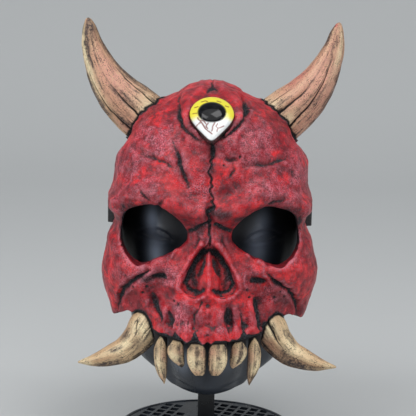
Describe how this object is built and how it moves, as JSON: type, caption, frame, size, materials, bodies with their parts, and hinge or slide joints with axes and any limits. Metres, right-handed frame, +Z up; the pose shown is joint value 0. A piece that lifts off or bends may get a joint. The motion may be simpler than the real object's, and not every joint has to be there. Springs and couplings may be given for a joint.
{
  "type": "oni mask on a display stand",
  "caption": "Red horned skull mask with a third eye, tusks and upper teeth, strapped to a black display head on a rod and round foot.",
  "frame": {"origin": "middle of the round foot's underside, on the surface that the stand rests on", "axes": "+Z up, the face looks along -Y, +X is the viewer's right"},
  "size_m": [0.2042, 0.2139, 0.3511],
  "materials": {
    "red_skull": "red painted resin with a dark wash in the creases and pink dry-brushed edges",
    "eye_paint": "white painted eye with a yellow ring and brown veins, varnished",
    "pupil_gloss": "deep gloss black dome",
    "bone": "tan painted resin with brown streaks",
    "strap_webbing": "black woven elastic",
    "head_plastic": "satin black moulded plastic",
    "stand_metal": "black powder-coated steel"
  },
  "bodies": {
    "root": {"skull_mask": "red_skull", "third_eye": "eye_paint", "pupil": "pupil_gloss", "horn_left": "bone", "horn_right": "bone", "tusk_left": "bone", "tusk_right": "bone", "incisor_left": "bone", "incisor_right": "bone", "side_tooth_left": "bone", "side_tooth_right": "bone", "fang_left": "bone", "fang_right": "bone", "head_strap": "strap_webbing", "display_head": "head_plastic", "stand_rod": "stand_metal", "stand_foot": "stand_metal"}
  },
  "joints": []
}
